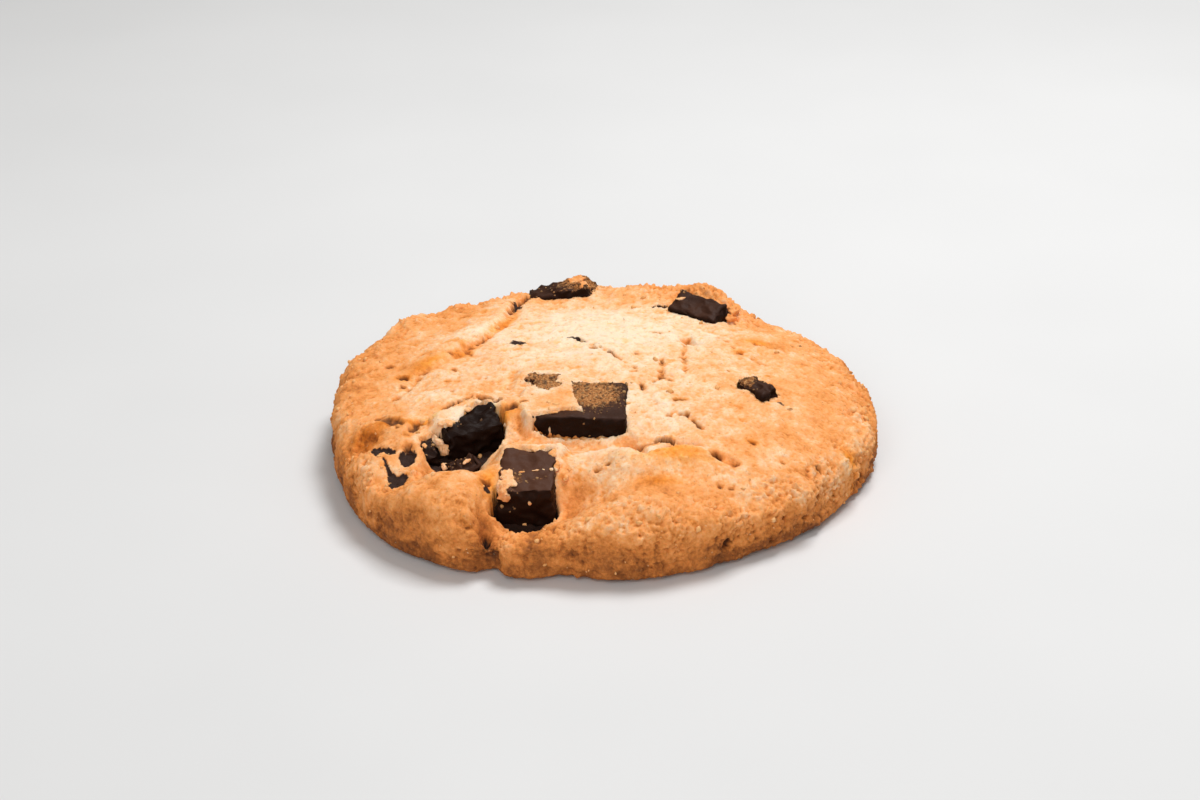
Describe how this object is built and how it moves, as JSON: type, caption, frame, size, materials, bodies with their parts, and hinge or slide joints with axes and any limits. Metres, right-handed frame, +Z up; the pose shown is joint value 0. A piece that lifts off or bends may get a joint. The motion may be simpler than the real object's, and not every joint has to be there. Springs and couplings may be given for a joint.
{
  "type": "chocolate chip cookie",
  "caption": "Thick round drop cookie with an uneven, cracked top, a rounded browned rim, a flat underside and blocky dark chocolate chunks set in its top.",
  "frame": {"origin": "middle of the flat underside, on the surface that the cookie lies on", "axes": "+Z up through the cookie, +X to the right and -Y to the front, where the deep hollow with a chunk is"},
  "size_m": [0.0771, 0.0768, 0.0131],
  "materials": {
    "dough": null,
    "chocolate": null
  },
  "bodies": {
    "root": {"dough": "dough", "chunk_centre": "chocolate", "chunk_front": "chocolate", "chunk_left": "chocolate", "chunk_left_lower": "chocolate", "chunk_left_edge": "chocolate", "chunk_far_left": "chocolate", "chunk_back_left": "chocolate", "chunk_back_right": "chocolate", "chunk_right": "chocolate", "chunk_flat": "chocolate"}
  },
  "joints": []
}
